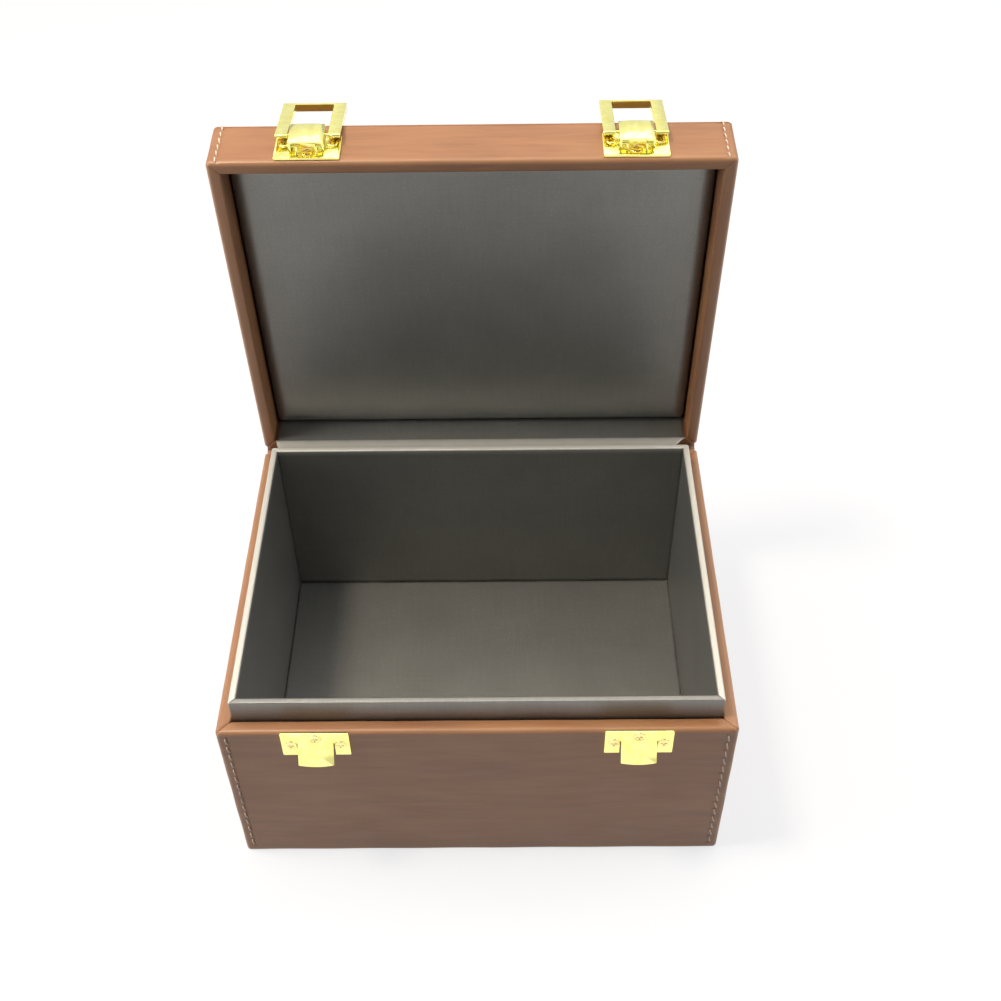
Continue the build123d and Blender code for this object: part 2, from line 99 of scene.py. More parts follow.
def gridMesh(name, points, uv, material, closed=False, flip=False, cap=False, wearAndHighlight=None):
    # rows by columns of points joined by quads; closed joins the last column to the first,
    # and cap fills the last row with one face
    rows, columns = points.shape[:2]
    index = np.arange(rows * columns).reshape(rows, columns)
    right = np.roll(index, -1, axis=1) if closed else index[:, 1:]
    left = index if closed else index[:, :-1]
    quads = np.stack([left[:-1], right[:-1], right[1:], left[1:]], axis=-1).reshape(-1, 4)
    if flip:
        quads = quads[:, ::-1]
    faces = quads.tolist()
    if cap:
        last = index[-1] if not flip else index[-1][::-1]
        faces.append(last.tolist())
    mesh = bpy.data.meshes.new(name)
    mesh.from_pydata((points.reshape(-1, 3) * mm).tolist(), [], faces)
    writeCloth(mesh, uv)
    if wearAndHighlight is not None:
        wornAndHighlight = mesh.attributes.new("wearAndHighlight", "FLOAT", "POINT")
        wornAndHighlight.data.foreach_set("value", np.asarray(wearAndHighlight, np.float32).ravel())
    return placed(name, mesh, material)


def thicken(piece, thickness):
    # cloth or leather gets its thickness behind the face that shows
    wall = piece.modifiers.new("thickness", "SOLIDIFY")
    wall.thickness = thickness * mm
    wall.offset = -1


def roundedPath(corners, radii, step):
    # straight runs joined by arcs tangent to them: each corner is cut back by radius times the
    # tangent of half its turn, and the arc is swept between the two cuts
    corners = np.array(corners, float)
    path = [corners[:1]]
    for k in range(1, len(corners) - 1):
        into = corners[k] - corners[k - 1]
        out = corners[k + 1] - corners[k]
        into = into / np.linalg.norm(into)
        out = out / np.linalg.norm(out)
        turn = math.acos(np.clip(into @ out, -1, 1))
        side = np.sign(into[0] * out[1] - into[1] * out[0])
        radius = radii[k - 1]
        back = radius * math.tan(turn / 2)
        start = corners[k] - into * back
        centre = start + side * radius * np.array([-into[1], into[0]])
        angles = side * np.linspace(0, turn, 8)[:, None]
        arm = start - centre
        arc = centre + np.concatenate(
            [arm[0] * np.cos(angles) - arm[1] * np.sin(angles),
             arm[0] * np.sin(angles) + arm[1] * np.cos(angles)], axis=1)
        path.append(arc)
    path.append(corners[-1:])
    path = np.concatenate(path)
    gaps = np.linalg.norm(np.diff(path, axis=0), axis=1)
    counts = np.maximum(1, np.ceil(gaps / step)).astype(int)
    runs = [path[k] + (path[k + 1] - path[k]) * np.arange(counts[k])[:, None] / counts[k]
            for k in range(len(counts))]
    return np.concatenate(runs + [path[-1:]])


def pathNormals(path):
    # the tangent turned a quarter left
    along = np.gradient(path, axis=0)
    along = along / np.linalg.norm(along, axis=1)[:, None]
    return np.stack([-along[:, 1], along[:, 0]], axis=1)


def distanceAlong(path):
    return np.concatenate([[0], np.cumsum(np.linalg.norm(np.diff(path, axis=0), axis=1))])


def endLines(total, fine, coarse, extra=()):
    # distances along a side, close together at both ends, where the corners turn
    near = np.array(fine, float)
    far = total - near[::-1]
    count = max(2, int((total - 2 * near[-1]) / coarse))
    middle = np.linspace(near[-1], far[0], count + 1)[1:-1]
    every = np.concatenate([near, middle, far, np.array(list(extra), float)])
    return np.unique(np.round(every, 4)) / total


def sideOf(side, along, inward, height, halfX, halfY):
    # a side's own axes laid on the box: along it from its left end seen from outside, inwards and up
    if side == "front":
        return np.stack([along, inward - halfY, height], axis=-1)
    if side == "back":
        return np.stack([-along, halfY - inward, height], axis=-1)
    if side == "left":
        return np.stack([inward - halfX, -along, height], axis=-1)
    return np.stack([halfX - inward, along, height], axis=-1)


def wrapSide(side, path, shares, halfX, halfY, corner, shape, shrink=0.0):
    # one side of a box: a profile (inwards, up) carried along the side, moved along its normals as
    # shape says. The side is straight up to the corner's centre and then follows half of the
    # corner's arc, whose radius is less further in.
    half = (halfX if side in ("front", "back") else halfY) - shrink
    inward = path[:, 0][:, None]
    height = path[:, 1][:, None] + np.zeros((1, len(shares)))
    normal = pathNormals(path)
    offset = shape((shares[None, :] * 2 - 1) * half, height)
    inward = inward + normal[:, 0][:, None] * offset
    height = height + normal[:, 1][:, None] * offset
    radius = np.maximum(corner - inward, 0)
    centre = half - np.maximum(inward, corner)
    reach = centre + radius * math.pi / 4
    place = (shares[None, :] * 2 - 1) * reach
    over = np.maximum(np.abs(place) - centre, 0)
    angle = np.where(radius > 1e-6, over / np.maximum(radius, 1e-6), 0)
    along = np.sign(place) * (np.minimum(np.abs(place), centre) + radius * np.sin(angle))
    depth = inward + radius * (1 - np.cos(angle))
    points = sideOf(side, along, depth, height, halfX, halfY)
    uv = np.stack([place, np.repeat(distanceAlong(path)[:, None], len(shares), axis=1)], axis=-1)
    return points, uv


def ringPath(step, halfX, halfY):
    # a rounded rectangle walked once anticlockwise: for each point, the corner or mix of two corners
    # that it belongs to, as signs of X and Y, and the way out from there
    signs, directions = [], []
    quarter = np.linspace(0, math.pi / 2, 7)
    turns = np.array(((1, 1), (-1, 1), (-1, -1), (1, -1)), float)
    for number in range(4):
        here, there = turns[number], turns[(number + 1) % 4]
        angles = quarter + number * math.pi / 2
        signs.append(np.repeat(here[None], len(angles), axis=0))
        directions.append(np.stack([np.cos(angles), np.sin(angles)], axis=1))
        run = 2 * (halfX if number % 2 == 0 else halfY)
        count = max(2, int(run / step))
        share = np.arange(1, count)[:, None] / count
        signs.append(here + (there - here) * share)
        directions.append(np.repeat(directions[-1][-1:], count - 1, axis=0))
    return np.concatenate(signs), np.concatenate(directions)


def rings(halfX, halfY, corner, path, step):
    # the profile (inwards from the border, up) carried round a rounded rectangle, whose corners
    # have a smaller radius further in and none past their centre
    signs, directions = ringPath(step, halfX, halfY)
    inward = path[:, 0][:, None, None]
    centre = np.array([halfX, halfY]) - np.maximum(inward, corner)
    flat = signs[None] * centre + directions[None] * np.maximum(corner - inward, 0.02)
    heights = np.repeat(path[:, 1][:, None], len(signs), axis=1)
    return np.concatenate([flat, heights[..., None]], axis=-1)


def plate(halfX, halfY, corner, path, step=6.0, middleY=0.0, wave=0.0):
    # a sheet with shaped edges: rings of its profile, and flat rings that shrink in proportion
    # to close it to the middle, with a faint wave
    outer = rings(halfX, halfY, corner, path, step)
    shares = np.linspace(1, 0.03, 14)[1:, None, None]
    inner = outer[-1][None] * np.concatenate([shares, shares, np.ones_like(shares)], axis=-1)
    points = np.concatenate([outer, inner])
    x, y = points[..., 0], points[..., 1]
    swell = np.clip(1 - (x / halfX) ** 2, 0, 1) * np.clip(1 - (y / halfY) ** 2, 0, 1)
    points[..., 2] += wave * swell * np.sin(x * 0.11 + 1.3) * np.sin(y * 0.13 + 0.4)
    points[..., 1] += middleY
    return points


def linear(colour):
    # an sRGB hex colour as the linear values that the shaders work with
    parts = [int(colour[k:k + 2], 16) / 255 for k in (1, 3, 5)]
    return tuple(p / 12.92 if p <= 0.04045 else ((p + 0.055) / 1.055) ** 2.4 for p in parts) + (1,)


def addNode(tree, kind, inputs=None, **settings):
    # one node with its settings, values and incoming links
    node = tree.nodes.new("ShaderNode" + kind)
    for key, value in settings.items():
        setattr(node, key, value)
    for key, value in (inputs or {}).items():
        if isinstance(value, bpy.types.NodeSocket):
            tree.links.new(value, node.inputs[key])
        else:
            node.inputs[key].default_value = value
    return node


def newMaterial(name):
    material = bpy.data.materials.new(name)
    material.use_nodes = True
    tree = material.node_tree
    tree.nodes.clear()
    surface = addNode(tree, "BsdfPrincipled")
    addNode(tree, "OutputMaterial", {"Surface": surface.outputs[0]})
    return material, tree, surface


def ramp(tree, factor, stops):
    node = addNode(tree, "ValToRGB", {"Fac": factor})
    elements = node.color_ramp.elements
    while len(elements) < len(stops):
        elements.new(0.5)
    for element, (place, colour) in zip(elements, stops):
        element.position = place
        element.color = linear(colour)
    return node.outputs["Color"]


def stretched(tree, vector, scale, turn=0.0):
    node = addNode(tree, "Mapping", {"Vector": vector, "Scale": scale, "Rotation": (0, 0, turn)})
    return node.outputs["Vector"]


def noise(tree, vector, scale, detail=3.0, roughness=0.55, distortion=0.0):
    return addNode(tree, "TexNoise", {"Vector": vector, "Scale": scale, "Detail": detail,
                                      "Roughness": roughness, "Distortion": distortion}).outputs["Fac"]


def maths(tree, operation, *values):
    return addNode(tree, "Math", dict(enumerate(values)), operation=operation).outputs[0]


def scaled(tree, value, amount):
    return maths(tree, "MULTIPLY", value, amount)


def blendColour(tree, factor, first, second):
    return addNode(tree, "Mix", {0: factor, 6: first, 7: second}, data_type="RGBA").outputs[2]


def inMillimetres(tree, place):
    # a place in metres as millimetres, so that the patterns laid on it are at real scale
    return stretched(tree, place, (1 / mm, 1 / mm, 1 / mm))


def clothPlace(tree):
    return inMillimetres(tree, addNode(tree, "UVMap", uv_map="cloth").outputs["UV"])


def objectPlace(tree):
    return inMillimetres(tree, addNode(tree, "TexCoord").outputs["Object"])


def fade(tree, value, reach, first=0.0, last=1.0):
    # from first to last while a value crosses its reach, and level outside it
    return addNode(tree, "MapRange", {"Value": value, "From Min": reach[0], "From Max": reach[1],
                                      "To Min": first, "To Max": last}).outputs[0]


def shine(tree, strength, colour="#FFFFFF"):
    return addNode(tree, "Background", {"Color": linear(colour), "Strength": strength}).outputs[0]


def relief(tree, surface, height, strength, distance):
    bump = addNode(tree, "Bump", {"Height": height, "Strength": strength, "Distance": distance})
    tree.links.new(bump.outputs[0], surface.inputs["Normal"])


# the four pattern sizes are waves to a millimetre, along the side and up it
leatherLook = {
    "dark": "#95603D",
    "middle": "#A66F45",
    "light": "#B07A4D",
    "rubbedAndHighlight": "#C4946C",
    "cool": "#9A7E60",
    "pore": "#845A40",
    "roughness": 0.44,
    "figure": (0.018, 0.11, 1),
    "streaks": (0.045, 0.6, 1),
    "mottling": (0.06, 0.09, 1),
    "pores": (0.22, 3.2, 1),
    "figureShare": 0.65,
    "stops": (0.33, 0.5, 0.67),
    "coolShare": 0.28,
    "poreShare": 0.25,
    "cells": 1.5,
}


def makeLeather():
    # embossed polyurethane leather: a print like fine-grained wood that runs along each side,
    # a soft satin film over it, and paler, smoother edges where hands rub it
    look = leatherLook
    material, tree, surface = newMaterial("embossedPolyurethaneLeather")
    place = clothPlace(tree)
    figure = noise(tree, stretched(tree, place, look["figure"]), 1.0, detail=3, roughness=0.55,
                   distortion=1.1)
    streaks = noise(tree, stretched(tree, place, look["streaks"]), 1.0, detail=4, roughness=0.6,
                    distortion=0.5)
    mottling = noise(tree, stretched(tree, place, look["mottling"]), 1.0, detail=3, roughness=0.5)
    pores = noise(tree, stretched(tree, place, look["pores"]), 1.0, detail=2, roughness=0.5)
    grain = maths(tree, "ADD", scaled(tree, figure, look["figureShare"]),
                  scaled(tree, streaks, 1 - look["figureShare"]))
    colour = ramp(tree, grain, list(zip(look["stops"], (look["dark"], look["middle"], look["light"]))))
    colour = blendColour(tree, scaled(tree, mottling, look["coolShare"]), colour, linear(look["cool"]))
    poreMask = fade(tree, pores, (0.66, 0.76))
    colour = blendColour(tree, scaled(tree, poreMask, look["poreShare"]), colour, linear(look["pore"]))
    wearAndHighlight = addNode(tree, "Attribute", attribute_name="wearAndHighlight").outputs["Fac"]
    rubbedAndHighlight = maths(tree, "MULTIPLY", wearAndHighlight, maths(tree, "ADD", 0.25, scaled(tree, streaks, 0.4)))
    colour = blendColour(tree, rubbedAndHighlight, colour, linear(look["rubbedAndHighlight"]))
    tree.links.new(colour, surface.inputs["Base Color"])
    satin = maths(tree, "ADD", look["roughness"] - 0.1, scaled(tree, mottling, 0.2))
    gloss = maths(tree, "SUBTRACT", satin, scaled(tree, wearAndHighlight, 0.08))
    tree.links.new(gloss, surface.inputs["Roughness"])
    surface.inputs["IOR"].default_value = 1.56
    # the emboss is cells of about two thirds of a millimetre, over the printed streaks
    cells = addNode(tree, "TexVoronoi", {"Vector": place, "Scale": look["cells"], "Randomness": 1.0},
                    feature="DISTANCE_TO_EDGE").outputs["Distance"]
    emboss = maths(tree, "ADD", scaled(tree, maths(tree, "MINIMUM", cells, 0.12), 1.2),
                   scaled(tree, streaks, 0.25))
    relief(tree, surface, maths(tree, "SUBTRACT", emboss, scaled(tree, poreMask, 0.12)), 0.35, 0.0001)
    return material


fabricLook = {
    "warp": "#807F7B",
    "weft": "#757470",
    "slub": "#9A9993",
    "glint": "#B9B8B0",
    # the paler colour painted as a highlight on folds that catch the light
    "rubbedAndHighlight": "#DEDBCF",
    "pitch": 0.38,
    "drift": 0.8,           # how far the yarns wander, in millimetres
    "slubShare": 0.36,
    "glintShare": 0.38,
    "cloud": 0.28,
    "roughness": 0.42,
    "metallic": 0.72,
}


def makeFabric():
    # polyester plain weave plated with copper and nickel: grey-champagne, half metallic, with a
    # broad soft sheen. Its yarns are about 0.25 mm apart and are drawn coarser, so that they show.
    look = fabricLook
    material, tree, surface = newMaterial("platedPolyesterWeave")
    place = clothPlace(tree)
    drift = scaled(tree, noise(tree, place, 0.08, detail=2, roughness=0.5), look["drift"])
    split = addNode(tree, "SeparateXYZ", {"Vector": place})
    turns = math.pi / look["pitch"]
    warpWave, weftWave = [maths(tree, "SINE", scaled(tree, maths(tree, "ADD", axis, drift), turns))
                          for axis in split.outputs[:2]]
    over = maths(tree, "GREATER_THAN", maths(tree, "MULTIPLY", warpWave, weftWave), 0.0)
    warpYarn = maths(tree, "ABSOLUTE", warpWave)
    weftYarn = maths(tree, "ABSOLUTE", weftWave)
    height = addNode(tree, "Mix", {0: over, 2: warpYarn, 3: weftYarn}).outputs[0]
    slubs = noise(tree, stretched(tree, place, (0.06, 1.4, 1)), 1.0, detail=3, roughness=0.6)
    slubsDown = noise(tree, stretched(tree, place, (1.4, 0.06, 1)), 1.0, detail=3, roughness=0.6)
    cloudy = noise(tree, place, 0.035, detail=3, roughness=0.5)
    colour = blendColour(tree, over, linear(look["weft"]), linear(look["warp"]))
    flecks = scaled(tree, maths(tree, "ADD", slubs, slubsDown), look["slubShare"])
    colour = blendColour(tree, flecks, colour, linear(look["slub"]))
    # single filaments that catch the light, as a fine sparkle
    filaments = noise(tree, stretched(tree, place, (1.5, 1.5, 1)), 1.0, detail=2, roughness=0.7)
    glints = fade(tree, filaments, (0.56, 0.76))
    colour = blendColour(tree, scaled(tree, glints, look["glintShare"]), colour, linear(look["glint"]))
    shade = maths(tree, "ADD", 1 - look["cloud"] / 2, scaled(tree, cloudy, look["cloud"]))
    colour = addNode(tree, "VectorMath", {0: colour, 3: shade}, operation="SCALE").outputs[0]
    # painted highlight: along the top folds and across the hinge span the cloth turns paler and less
    # metallic, for the light these faces catch from above
    wearAndHighlight = addNode(tree, "Attribute", attribute_name="wearAndHighlight").outputs["Fac"]
    colour = blendColour(tree, wearAndHighlight, colour, linear(look["rubbedAndHighlight"]))
    tree.links.new(colour, surface.inputs["Base Color"])
    plated = maths(tree, "SUBTRACT", look["metallic"], scaled(tree, wearAndHighlight, 0.5))
    tree.links.new(plated, surface.inputs["Metallic"])
    tree.links.new(maths(tree, "ADD", look["roughness"] - 0.08, scaled(tree, slubs, 0.16)),
                   surface.inputs["Roughness"])
    relief(tree, surface, maths(tree, "ADD", height, scaled(tree, slubs, 0.8)), 0.35, 0.00006)
    return material


threadLook = {"pale": "#F4E8D6", "shade": "#D9C6AC", "roughness": 0.6, "slant": 0.7}


def makeThread():
    # bonded polyester thread of three plies: the twist shows as slanting bands with a soft gloss, painted
    # darker as shade in the grooves between the plies
    look = threadLook
    material, tree, surface = newMaterial("bondedPolyesterThread")
    place = clothPlace(tree)
    slanted = stretched(tree, place, (1, 1, 1), look["slant"])
    twist = addNode(tree, "TexWave", {"Vector": slanted, "Scale": 1.1, "Distortion": 0.4, "Detail": 1.0},
                    wave_type="BANDS").outputs["Fac"]
    fibre = noise(tree, stretched(tree, place, (3, 9, 1)), 1.0, detail=3)
    # painted shade in the twist's grooves, mixed with the fibres' own tone
    twistShadeAndFibre = scaled(tree, maths(tree, "ADD", twist, fibre), 0.5)
    colour = ramp(tree, twistShadeAndFibre, [(0.2, look["shade"]), (0.65, look["pale"])])
    tree.links.new(colour, surface.inputs["Base Color"])
    surface.inputs["Roughness"].default_value = look["roughness"]
    surface.inputs["Sheen Weight"].default_value = 0.25
    relief(tree, surface, twist, 0.6, 0.00006)
    return material


giltLook = {"bright": "#FDFAA2", "deep": "#F9EC86", "smudge": 0.05, "roughness": 0.09, "scratches": 0.05}


def makeGilt(name, bright, deep, roughness, scratches):
    # stamped steel, tumbled and plated a pale gold: nearly a mirror, with faint waves from the
    # stamping, fine rubbing marks and finger smudges that only change its gloss
    material, tree, surface = newMaterial(name)
    place = objectPlace(tree)
    tarnish = noise(tree, place, 0.35, detail=4, roughness=0.6)
    tree.links.new(ramp(tree, tarnish, [(0.3, deep), (0.62, bright)]), surface.inputs["Base Color"])
    surface.inputs["Metallic"].default_value = 1.0
    smudges = noise(tree, place, 0.22, detail=3, roughness=0.6)
    lines = noise(tree, stretched(tree, place, (0.5, 9, 9)), 1.0, detail=2, roughness=0.7)
    marks = maths(tree, "ADD", scaled(tree, smudges, giltLook["smudge"]), scaled(tree, lines, scratches))
    tree.links.new(maths(tree, "ADD", roughness, marks), surface.inputs["Roughness"])
    waves = noise(tree, place, 0.22, detail=1, roughness=0.4)
    relief(tree, surface, maths(tree, "ADD", waves, scaled(tree, lines, 0.03)), 0.22, 0.0001)
    return material


def makeBoard(name, pale, dark):
    # pressed grey pulp board: matt, flecked with darker fibre
    material, tree, surface = newMaterial(name)
    pulp = noise(tree, objectPlace(tree), 0.9, detail=6, roughness=0.7)
    tree.links.new(ramp(tree, pulp, [(0.35, dark), (0.6, pale)]), surface.inputs["Base Color"])
    surface.inputs["Roughness"].default_value = 0.88
    relief(tree, surface, pulp, 0.4, 0.0001)
    return material


def makeFoam():
    # open-cell polyurethane sheet: pale, matt, with pores about half a millimetre across
    material, tree, surface = newMaterial("openCellFoam")
    cells = addNode(tree, "TexVoronoi", {"Vector": objectPlace(tree), "Scale": 1.8}).outputs["Distance"]
    tree.links.new(ramp(tree, cells, [(0.1, "#B9B29B"), (0.5, "#E4DFCB")]), surface.inputs["Base Color"])
    surface.inputs["Roughness"].default_value = 0.92
    relief(tree, surface, cells, 0.7, 0.0003)
    return material


leather = makeLeather()
fabric = makeFabric()
thread = makeThread()
gilt = makeGilt("polishedGoldPlating", giltLook["bright"], giltLook["deep"], giltLook["roughness"],
                giltLook["scratches"])
giltScrew = makeGilt("goldPlatedScrewSteel", "#F7E79E", "#DDBF6C", 0.14, 0.1)
catchScrew = makeGilt("goldPlatedCatchScrewSteel", "#FBF3B0", "#EFDD8C", 0.12, 0.08)
greyBoard = makeBoard("greyPulpBoard", "#A7A199", "#7F7972")
linedCard = makeBoard("greyLinedCard", "#C2BDB2", "#96918A")
foam = makeFoam()
print("materials made")


def finishSheet(piece, body, node, thickness=0.7):
    # a cut sheet: its thickness, its body and the node that it stands for
    thicken(piece, thickness)
    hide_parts(node)
    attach(piece, body)


def unevenness(nominal, height, depth, across, slant, start, up, upStart):
    # sheets laid by hand aren't quite flat: crossed waves that only ever sink in
    return depth * (np.sin(nominal * across + height * slant + start) * np.sin(height * up + upStart) - 1)


leatherShape = {
    "corner": 1.6,          # upright corners
    "rimEdge": 1.4,         # rounding of a rim's outer edge
    "innerEdge": 0.6,       # and of its inner edge
    "footEdge": 1.0,        # rounding where the leather turns under
    "tuckEdge": 0.3,        # and where the lid's turns in under the top sheet
    "underTurn": 3.0,       # how far it runs under the box
    "topTurn": 1.3,         # and under the lid's top sheet
    "turnIn": 12.0,         # how far it runs down inside a rim
    "thickness": 0.7,
    "creaseWidth": 0.42,
    "rubWidth": 1.1,
    "unevenness": 0.05,
    "cornerLines": (0, 0.15, 0.32, 0.5, 0.7, 0.9, 1.15, 1.45, 1.9),
    "lineStep": 3.0,
    "profileStep": 2.5,
    "sewnStep": 0.42,       # finer, for the needle holes
}
stitchRows = {
    "inset": 3.0,
    "box": {"length": 3.1, "pitch": 4.2, "count": 15, "first": bodyRim - 4.6 - 14 * 4.2},
    "lid": {"length": 2.5, "pitch": 3.25, "count": 6, "first": lidRim + 1.9},
    "radius": 0.25,
    "lean": -0.16,          # each stitch's slant, as the needle's side step leaves it
    "leanSpread": 0.06,
    "sizeSpread": 0.04,
    "taper": 0.35,
    "rise": 0.27,           # the arch's height over the leather
    "dive": 0.66,           # and how far its ends go down from there
    "flatness": 0.8,
    "plies": 2.2,
    "channel": 0.05,
    "channelWidth": 0.8,
    "hole": 0.26,
    "holeSize": (0.42, 0.5),
}
bodyInside = box["bodyWall"] - 0.05
lidTuck = lidTop - 0.85
leatherParts = {
    "body": {
        "rides": "box",
        "rim": bodyRim,
        "profile": [(leatherShape["underTurn"], 0), (0, 0), (0, bodyRim), (bodyInside, bodyRim),
                    (bodyInside, bodyRim - leatherShape["turnIn"])],
        "radii": (leatherShape["footEdge"], leatherShape["rimEdge"], leatherShape["innerEdge"]),
        "crease": 0.32,     # the open mitre at the rim's corners
        "waves": (0.21, 0.05, 0.0, 0.27, 1.0),
        "rubbedAndHighlight": [(0.4, bodyRim - 0.4), (0.3, 0.3)],
        "clothStart": {"front": (0, 0), "right": (210, 0), "back": (430, 0), "left": (640, 0)},
    },
    "lid": {
        "rides": "lid",
        "rim": lidRim,
        "profile": [(box["lidWall"], lidRim + leatherShape["turnIn"]), (box["lidWall"], lidRim),
                    (0, lidRim), (0, lidTuck), (leatherShape["topTurn"], lidTuck)],
        "radii": (leatherShape["innerEdge"], leatherShape["rimEdge"], leatherShape["tuckEdge"]),
        "crease": 0.14,
        "waves": (0.19, 0.0, 2.0, 0.31, 0.0),
        "rubbedAndHighlight": [(0.4, lidRim + 0.4)],
        "clothStart": {"front": (860, 40), "right": (1070, 40), "back": (1290, 40), "left": (1500, 40)},
    },
}


def sewnDents(nominal, height, row, half):
    # a shallow channel along each row, with a needle hole halfway between stitches
    rows = stitchRows
    across = np.abs(nominal) - (half - rows["inset"])
    start = row["first"] - row["pitch"] / 2
    step = (height - start) / row["pitch"]
    inRow = (step > -0.15) & (step < row["count"] + 0.15)
    toHole = (step - np.round(step)) * row["pitch"]
    channel = rows["channel"] * np.exp(-(across / rows["channelWidth"]) ** 2)
    wide, tall = rows["holeSize"]
    hole = rows["hole"] * np.exp(-(across / wide) ** 2 - (toHole / tall) ** 2)
    return -(channel + hole) * inRow


def leatherRub(path, edges, columns):
    # how worn each point is: most at the rounded edges, along the whole side
    wornAndHighlight = np.zeros(len(path))
    for edge in edges:
        away = np.linalg.norm(path - np.array(edge), axis=1)
        wornAndHighlight = np.maximum(wornAndHighlight, np.exp(-(away / leatherShape["rubWidth"]) ** 2))
    return np.repeat(wornAndHighlight[:, None], columns, axis=1)


def leatherSide(name, side):
    # one side of the body's or the lid's covering, creased at the rim's corners; the front is dented
    # along its two rows of stitches, so its lines are close together there
    shape, part = leatherShape, leatherParts[name]
    sewn = side == "front"
    step = shape["sewnStep"] if sewn else shape["profileStep"]
    path = roundedPath(part["profile"], part["radii"], step)
    half = halfWidth if side in ("front", "back") else halfDepth
    near = stitchRows["inset"] + np.linspace(-1.1, 1.1, 12)
    rowLines = (*near, *(2 * half - near)) if sewn else ()
    shares = endLines(2 * half, shape["cornerLines"], shape["lineStep"], rowLines)

    def shaped(nominal, height):
        rimness = np.exp(-np.maximum(0, np.abs(height - part["rim"]) - 0.6) ** 2 / 1.2)
        fromEnd = half - np.abs(nominal)
        offset = -part["crease"] * np.exp(-(fromEnd / shape["creaseWidth"]) ** 2) * rimness
        offset = offset + unevenness(nominal, height, shape["unevenness"], *part["waves"])
        if sewn:
            outer = (path[:, 0] < 0.2)[:, None]
            offset = offset + sewnDents(nominal, height, stitchRows[part["rides"]], half) * outer
        return offset

    points, uv = wrapSide(side, path, shares, halfWidth, halfDepth, shape["corner"], shaped)
    uv = uv + np.array(part["clothStart"][side])
    wearAndHighlight = leatherRub(path, part["rubbedAndHighlight"], points.shape[1])
    if name == "lid":
        points = openLid(points)
    piece = gridMesh(f"{name}Leather_{side}", points, uv, leather, wearAndHighlight=wearAndHighlight)
    finishSheet(piece, part["rides"],
                f"{name}_leather_{side}", thickness=shape["thickness"])


for side in ("front", "back", "left", "right"):
    for name in leatherParts:
        leatherSide(name, side)

# underside: a sheet inside the turned leather, with a hairline between them
underPath = roundedPath([(0, 0.7), (0, 0), (3, 0)], (0.3,), 0.6)
under = leatherShape["underTurn"] + 0.15
underPoints = plate(halfWidth - under, halfDepth - under, 1.0, underPath)
underCloth = underPoints[..., :2] + np.array([1700, 0])
underside = gridMesh("bodyLeather_bottom", underPoints, underCloth, leather, closed=True, cap=True,
                     flip=True, wearAndHighlight=np.zeros(underPoints.shape[:2]))
finishSheet(underside, "box",
            "body_leather_bottom")

# lid's top: a sheet over the board whose edges turn down to meet the sides, worn along that fold
topFold = 0.8
topPath = roundedPath([(0, lidTop - topFold), (0, lidTop), (5, lidTop)], (0.72,), 0.7)
topPoints = plate(halfWidth, halfDepth, leatherShape["corner"], topPath)
topRub = np.zeros(topPoints.shape[:2])
topRub[:len(topPath)] = np.exp(-topPath[:, :1] ** 2)
topCloth = topPoints[..., :2] + np.array([1900, 0])
topSheet = gridMesh("lidLeather_top", openLid(topPoints), topCloth, leather, closed=True, cap=True,
                    wearAndHighlight=topRub)
finishSheet(topSheet, "lid",
            "lid_leather_top")
print("leather made")

linerShape = {
    "wall": 2.2,
    "rise": 8.5,
    "turnDown": 24.0,
    "floorTop": 5.4,
    "edge": 0.55,
    "corner": 0.45,
    "joint": 0.06,
    "thickness": 0.25,
    "frontSlot": 0.3,
    "backSlot": 2.7,
    "crease": 0.12,
    "creaseWidth": 0.35,
    "waves": (0.05, 0.16, 0.03, 0.0, 0.12, 0.5),
    "cornerLines": (0, 0.1, 0.2, 0.3, 0.42, 0.6, 0.9, 1.4),
    # how much of each top fold is painted paler as a highlight
    "wornAndHighlight": {"front": 0.0, "right": 0.8, "back": 0.8, "left": 0.8},
    "clothStart": {"front": (0, 0), "right": (200, 0), "back": (400, 0), "left": (600, 0)},
}
linerHalfX = halfWidth - box["bodyWall"]
linerFront = -halfDepth + box["bodyWall"] + linerShape["frontSlot"]
linerBack = halfDepth - box["bodyWall"] - linerShape["backSlot"]
linerHalfY = (linerBack - linerFront) / 2
linerMiddle = (linerBack + linerFront) / 2
linerTop = bodyRim + linerShape["rise"]


def linerFabric(side):
    shape = linerShape
    corners = [(0, linerTop - shape["turnDown"]), (0, linerTop), (shape["wall"], linerTop),
               (shape["wall"], shape["floorTop"])]
    path = roundedPath(corners, (shape["edge"], shape["edge"]), 2.0)
    half = linerHalfX if side in ("front", "back") else linerHalfY
    shares = endLines(2 * half, shape["cornerLines"], 4.0)

    def shaped(nominal, height):
        fromEnd = half - np.abs(nominal)
        crease = -shape["crease"] * np.exp(-(fromEnd / shape["creaseWidth"]) ** 2)
        return crease + unevenness(nominal, height, *shape["waves"])

    points, uv = wrapSide(side, path, shares, linerHalfX, linerHalfY, shape["corner"], shaped,
                          shape["joint"])
    points = points + np.array([0, linerMiddle, 0])
    uv = uv + np.array(shape["clothStart"][side])
    # painted highlight along the top fold, but not at the front
    fold = np.exp(-(np.minimum(0, path[:, 1] - linerTop + 0.1) / 0.5) ** 2) * shape["wornAndHighlight"][side]
    wearAndHighlight = np.repeat(fold[:, None], points.shape[1], axis=1)
    piece = gridMesh(f"linerFabric_{side}", points, uv, fabric, wearAndHighlight=wearAndHighlight)
    finishSheet(piece, "box",
                f"liner_fabric_{side}", thickness=shape["thickness"])


for side in ("front", "back", "left", "right"):
    linerFabric(side)

